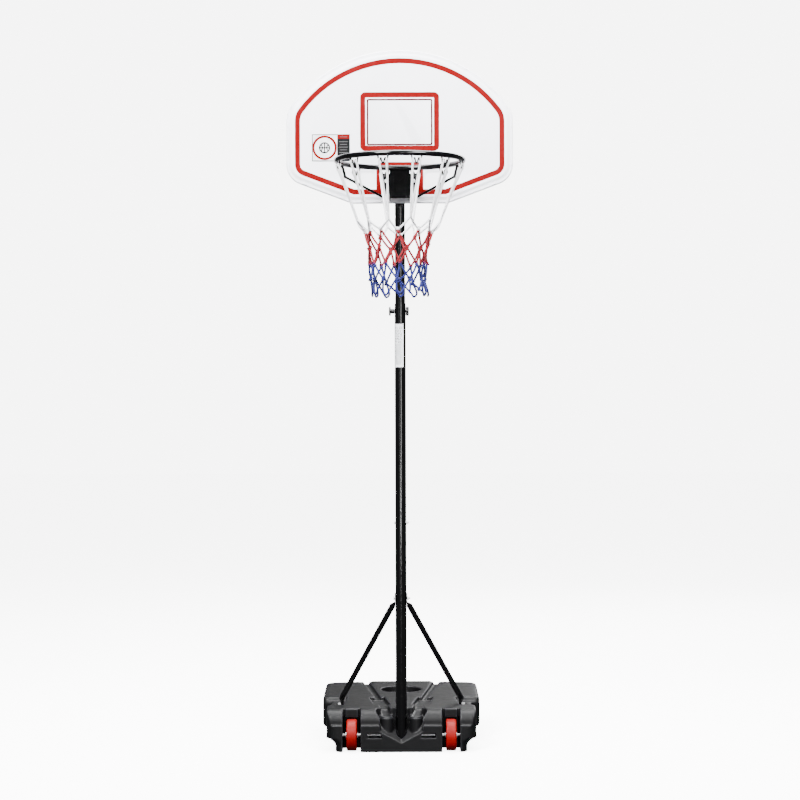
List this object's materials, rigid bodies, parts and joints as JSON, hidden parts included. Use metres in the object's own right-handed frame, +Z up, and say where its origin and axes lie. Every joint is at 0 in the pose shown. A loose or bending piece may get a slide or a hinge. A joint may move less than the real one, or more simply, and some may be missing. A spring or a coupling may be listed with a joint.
{
  "type": "portable basketball hoop",
  "caption": "Portable basketball hoop: ballast tank on wheels, braced telescoping pole, fan-shaped moulded backboard, rim on a bracket, and a knotted cord net.",
  "frame": {"origin": "where the pole's axis meets the floor, on the tank's flat underside", "axes": "+Z up, -Y towards the rim and the player, +X to the right seen from the rim side"},
  "size_m": [0.71, 1.115, 2.207],
  "materials": {
    "tank_plastic": "blow-moulded black polyethylene, fine grain",
    "water": null,
    "cap_plastic": "moulded black plastic",
    "seal_rubber": "black rubber",
    "zinc_steel": "bright zinc plating",
    "wheel_plastic": "moulded red plastic",
    "pole_paint": "gloss black powder coat",
    "knob_plastic": "moulded black plastic",
    "label_film": "printed vinyl film",
    "board_plastic": "blow-moulded white polyethylene",
    "red_print": "red printed band",
    "dark_red_print": "dark red printed line",
    "rim_paint": "gloss black powder coat",
    "net_white": "twisted white cord",
    "net_red": "twisted red cord",
    "net_blue": "twisted blue cord"
  },
  "bodies": {
    "stand": {"base_tank": "tank_plastic", "water_ballast": "water", "axle": "zinc_steel", "axle_plugs": "tank_plastic", "wheel_washers": "zinc_steel", "lower_pole": "pole_paint", "lower_pole_plug": "cap_plastic", "middle_pole": "pole_paint", "pole_joint_bolt": "zinc_steel", "pole_joint_nut": "zinc_steel", "stay_left": "pole_paint", "stay_right": "pole_paint", "stay_top_bolt": "zinc_steel", "stay_top_nut": "zinc_steel", "stay_foot_bolts": "zinc_steel", "pole_label": "label_film"},
    "upper": {"upper_pole": "pole_paint", "upper_pole_cap": "cap_plastic", "backboard": "board_plastic", "border_stripe": "red_print", "target_frame": "red_print", "target_line": "dark_red_print", "board_sticker": "label_film", "pole_bracket": "pole_paint", "pole_bracket_bolts": "zinc_steel", "pole_bracket_nuts": "zinc_steel", "upper_strap": "pole_paint", "strap_screws": "zinc_steel", "rim_bracket": "rim_paint", "rim_bolts": "zinc_steel", "rim_washers": "zinc_steel", "rim_nuts": "zinc_steel", "rim_ring": "rim_paint", "rim_rod_left": "rim_paint", "rim_rod_right": "rim_paint", "net_hooks": "rim_paint", "net_upper": "net_white", "net_middle": "net_red", "net_lower": "net_blue"},
    "fill_cap": {"fill_cap": "cap_plastic", "cap_seal": "seal_rubber"},
    "wheel_left": {"wheel_left": "wheel_plastic"},
    "wheel_right": {"wheel_right": "wheel_plastic"},
    "lock_bolt": {"lock_bolt": "knob_plastic"},
    "lock_knob": {"lock_knob": "knob_plastic"}
  },
  "joints": [
    {"name": "pole_height", "type": "slide", "parent": "stand", "child": "upper", "axis": [0, 0, 1], "range_m": [-0.3, 0]},
    {"name": "wheel_left_spin", "type": "hinge", "parent": "stand", "child": "wheel_left", "pos_m": [-0.157, 0, 0.0505], "axis": [1, 0, 0], "continuous": true},
    {"name": "wheel_right_spin", "type": "hinge", "parent": "stand", "child": "wheel_right", "pos_m": [0.157, 0, 0.0505], "axis": [1, 0, 0], "continuous": true},
    {"name": "lock_bolt_pull", "type": "slide", "parent": "stand", "child": "lock_bolt", "axis": [1, 0, 0], "range_m": [0, 0.055]},
    {"name": "lock_knob_turn", "type": "hinge", "parent": "stand", "child": "lock_knob", "pos_m": [-0.03, 0, 1.39], "axis": [1, 0, 0], "continuous": true},
    {"name": "fill_cap_turn", "type": "hinge", "parent": "stand", "child": "fill_cap", "pos_m": [0, 0.4, 0.127], "axis": [0, 0, 1], "continuous": true}
  ]
}
